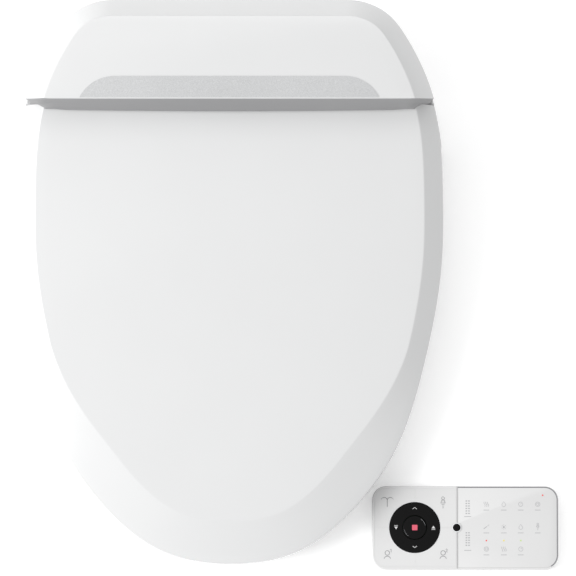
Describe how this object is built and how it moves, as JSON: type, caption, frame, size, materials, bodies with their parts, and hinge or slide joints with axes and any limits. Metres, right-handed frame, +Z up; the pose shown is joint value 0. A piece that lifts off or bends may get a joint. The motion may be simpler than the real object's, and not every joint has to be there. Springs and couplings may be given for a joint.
{
  "type": "electric bidet seat",
  "caption": "Elongated electric bidet seat with a bevelled closing lid, heated ring, rear housing with a textured panel, and a flat wireless remote.",
  "frame": {"origin": "midway between the two bowl bolts, on the plane of the bowl's rim", "axes": "+Z up, +Y towards the wall, -Y towards the front tip of the seat"},
  "size_m": [0.4992, 0.5187, 0.1302],
  "materials": {
    "white_gloss": "gloss",
    "white_matte": "satin",
    "grey_plastic": "satin",
    "panel_grey": "fine texture",
    "black_rubber": "matt",
    "black_gloss": "gloss",
    "steel": "brushed",
    "chrome": "polished",
    "foil": "satin",
    "carbon": "matt",
    "board_green": "satin",
    "lens_clear": "clear"
  },
  "bodies": {
    "bracket": {"bracket_plate": "grey_plastic", "bracket_grip_pads": "black_rubber"},
    "main_unit": {"base_case": "white_matte", "base_feet": "black_rubber", "case_screws": "steel", "top_cover": "white_gloss", "accent_panel": "panel_grey", "seat_damper": "grey_plastic", "lid_damper": "grey_plastic", "hinge_pins": "steel", "hinge_pin_caps": "grey_plastic", "nozzle_motor": "steel", "nozzle_cradle": "grey_plastic", "water_inlet": "chrome", "inlet_strainer": "grey_plastic", "inlet_valve": "grey_plastic", "water_heater": "grey_plastic", "flow_selector": "grey_plastic", "drain_plug": "grey_plastic", "cord_gland": "black_rubber", "fan_case": "grey_plastic", "fan_motor": "steel", "dryer_duct": "grey_plastic", "control_board": "board_green", "ir_receiver": "black_gloss", "power_supply": "black_gloss", "seat_sensor_lens": "black_gloss", "night_light_lens": "lens_clear"},
    "seat_ring": {"seat_top_shell": "white_gloss", "seat_bottom_shell": "white_matte", "seat_heater": "foil", "seat_bumpers": "black_rubber", "seat_hinge_bushes": "grey_plastic"},
    "lid": {"lid_shell": "white_gloss", "lid_liner": "white_matte", "lid_bumpers": "black_rubber", "lid_hinge_bushes": "grey_plastic"},
    "nozzle": {"nozzle_wand": "white_matte", "nozzle_tip": "white_gloss"},
    "pinion": {"nozzle_pinion": "grey_plastic"},
    "fan": {"fan_wheel": "white_matte"},
    "flap": {"dryer_flap": "white_gloss"},
    "deodorizer": {"deodorizer_cartridge": "white_matte", "carbon_filter": "carbon"},
    "power_key": {"power_button": "white_gloss"},
    "release_key": {"release_button": "panel_grey"},
    "remote": {"remote_back_case": "white_matte", "remote_feet": "black_rubber", "remote_batteries": "foil", "remote_face": "white_gloss", "keypad_overlay": "white_gloss", "remote_lens": "black_gloss", "remote_board": "board_green"},
    "remote_door": {"battery_door": "white_matte"},
    "key_bl": {"key_back_left": "white_gloss"},
    "key_br": {"key_back_right": "white_gloss"},
    "key_fl": {"key_front_left": "white_gloss"},
    "key_fr": {"key_front_right": "white_gloss"},
    "ring_key": {"direction_ring": "black_gloss"},
    "stop_key": {"stop_button": "black_gloss"}
  },
  "joints": [
    {"name": "unit_slide", "type": "slide", "parent": "bracket", "child": "main_unit", "axis": [0, -1, 0], "range_m": [0, 0.07]},
    {"name": "seat_hinge", "type": "hinge", "parent": "main_unit", "child": "seat_ring", "pos_m": [0, -0.064, 0.084], "axis": [-1, 0, 0], "range_deg": [0, 98]},
    {"name": "lid_hinge", "type": "hinge", "parent": "seat_ring", "child": "lid", "pos_m": [0, -0.064, 0.084], "axis": [1, 0, 0], "range_deg": [-98, 0]},
    {"name": "nozzle_slide", "type": "slide", "parent": "main_unit", "child": "nozzle", "axis": [0, -0.9659, -0.2588], "range_m": [0, 0.075]},
    {"name": "pinion_turn", "type": "hinge", "parent": "main_unit", "child": "pinion", "pos_m": [0, -0.02253, 0.05678], "axis": [1, 0, 0], "range_deg": [-720, 0]},
    {"name": "fan_turn", "type": "hinge", "parent": "main_unit", "child": "fan", "pos_m": [0.092, 0.006, 0.03], "axis": [0, 0, 1], "continuous": true},
    {"name": "flap_turn", "type": "hinge", "parent": "main_unit", "child": "flap", "pos_m": [0.032, -0.1267, 0.031], "axis": [-1, 0, 0], "range_deg": [0, 70]},
    {"name": "deodorizer_slide", "type": "slide", "parent": "main_unit", "child": "deodorizer", "axis": [1, 0, 0], "range_m": [0, 0.06]},
    {"name": "power_press", "type": "slide", "parent": "main_unit", "child": "power_key", "axis": [1, 0, 0], "range_m": [0, 0.0015], "stiffness_N_per_m": 400},
    {"name": "release_press", "type": "slide", "parent": "main_unit", "child": "release_key", "axis": [-1, 0, 0], "range_m": [0, 0.003], "stiffness_N_per_m": 400},
    {"name": "remote_lift", "type": "slide", "parent": "main_unit", "child": "remote", "axis": [0, 0, 1], "range_m": [0, 0.08]},
    {"name": "door_drop", "type": "slide", "parent": "remote", "child": "remote_door", "axis": [0, 0, -1], "range_m": [0, 0.02]},
    {"name": "key_bl_press", "type": "slide", "parent": "remote", "child": "key_bl", "axis": [0, 0, -1], "range_m": [0, 0.0008], "stiffness_N_per_m": 400},
    {"name": "key_br_press", "type": "slide", "parent": "remote", "child": "key_br", "axis": [0, 0, -1], "range_m": [0, 0.0008], "stiffness_N_per_m": 400},
    {"name": "key_fl_press", "type": "slide", "parent": "remote", "child": "key_fl", "axis": [0, 0, -1], "range_m": [0, 0.0008], "stiffness_N_per_m": 400},
    {"name": "key_fr_press", "type": "slide", "parent": "remote", "child": "key_fr", "axis": [0, 0, -1], "range_m": [0, 0.0008], "stiffness_N_per_m": 400},
    {"name": "ring_key_press", "type": "slide", "parent": "remote", "child": "ring_key", "axis": [0, 0, -1], "range_m": [0, 0.0008], "stiffness_N_per_m": 400},
    {"name": "stop_key_press", "type": "slide", "parent": "remote", "child": "stop_key", "axis": [0, 0, -1], "range_m": [0, 0.0008], "stiffness_N_per_m": 400}
  ],
  "couplings": [
    {"joint": "pinion_turn", "follows": "nozzle_slide", "rad_per_m": -166.67}
  ]
}
